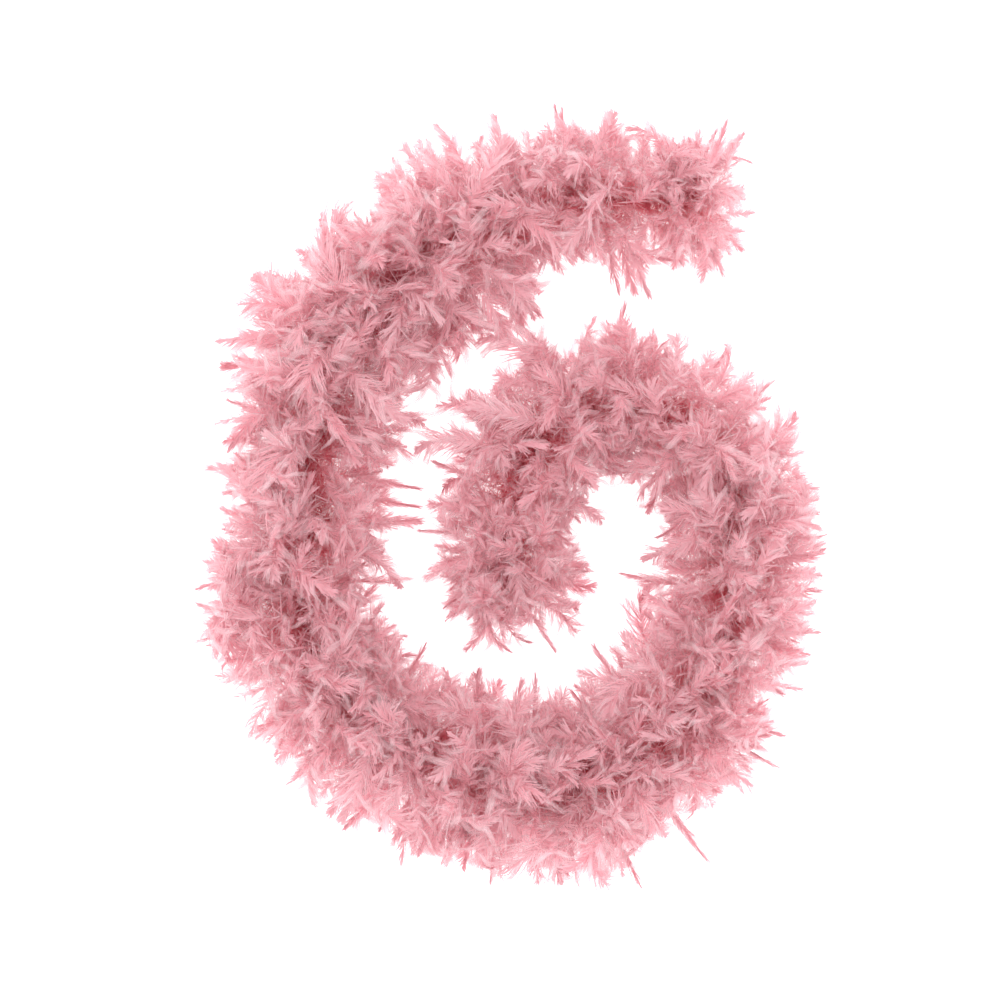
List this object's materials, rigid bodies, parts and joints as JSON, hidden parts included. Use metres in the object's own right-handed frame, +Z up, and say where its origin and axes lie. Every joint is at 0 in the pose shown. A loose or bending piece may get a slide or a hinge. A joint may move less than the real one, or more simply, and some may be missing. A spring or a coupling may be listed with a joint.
{
  "type": "feather boa",
  "caption": "Fluffy dyed feather boa: feathers bound in a spiral to a limp cord, laid in a loose curl, worn as a costume scarf.",
  "frame": {"origin": "middle of the boa's outline, on the surface it lies on", "axes": "+Z up from the table, +Y to the top of the curl where the outer arm starts, +X to the right, where the outer arm ends"},
  "size_m": [0.572, 0.7167, 0.1495],
  "materials": {
    "cord": "matte",
    "thread": "matte",
    "feathers": "matte"
  },
  "bodies": {
    "root": {"core_cord": "cord", "binding_thread": "thread", "end_knot_outer": "cord", "end_knot_inner": "cord", "feather_bunch_01": "feathers", "feather_bunch_02": "feathers", "feather_bunch_03": "feathers", "feather_bunch_04": "feathers", "feather_bunch_05": "feathers", "feather_bunch_06": "feathers", "feather_bunch_07": "feathers", "feather_bunch_08": "feathers", "feather_bunch_09": "feathers", "feather_bunch_10": "feathers", "feather_bunch_11": "feathers", "feather_bunch_12": "feathers", "feather_bunch_13": "feathers", "feather_bunch_14": "feathers", "feather_bunch_15": "feathers", "feather_bunch_16": "feathers", "feather_bunch_17": "feathers", "feather_bunch_18": "feathers", "feather_bunch_19": "feathers", "feather_bunch_20": "feathers", "feather_bunch_21": "feathers", "feather_bunch_22": "feathers", "feather_bunch_23": "feathers", "feather_bunch_24": "feathers", "feather_bunch_25": "feathers"}
  },
  "joints": []
}
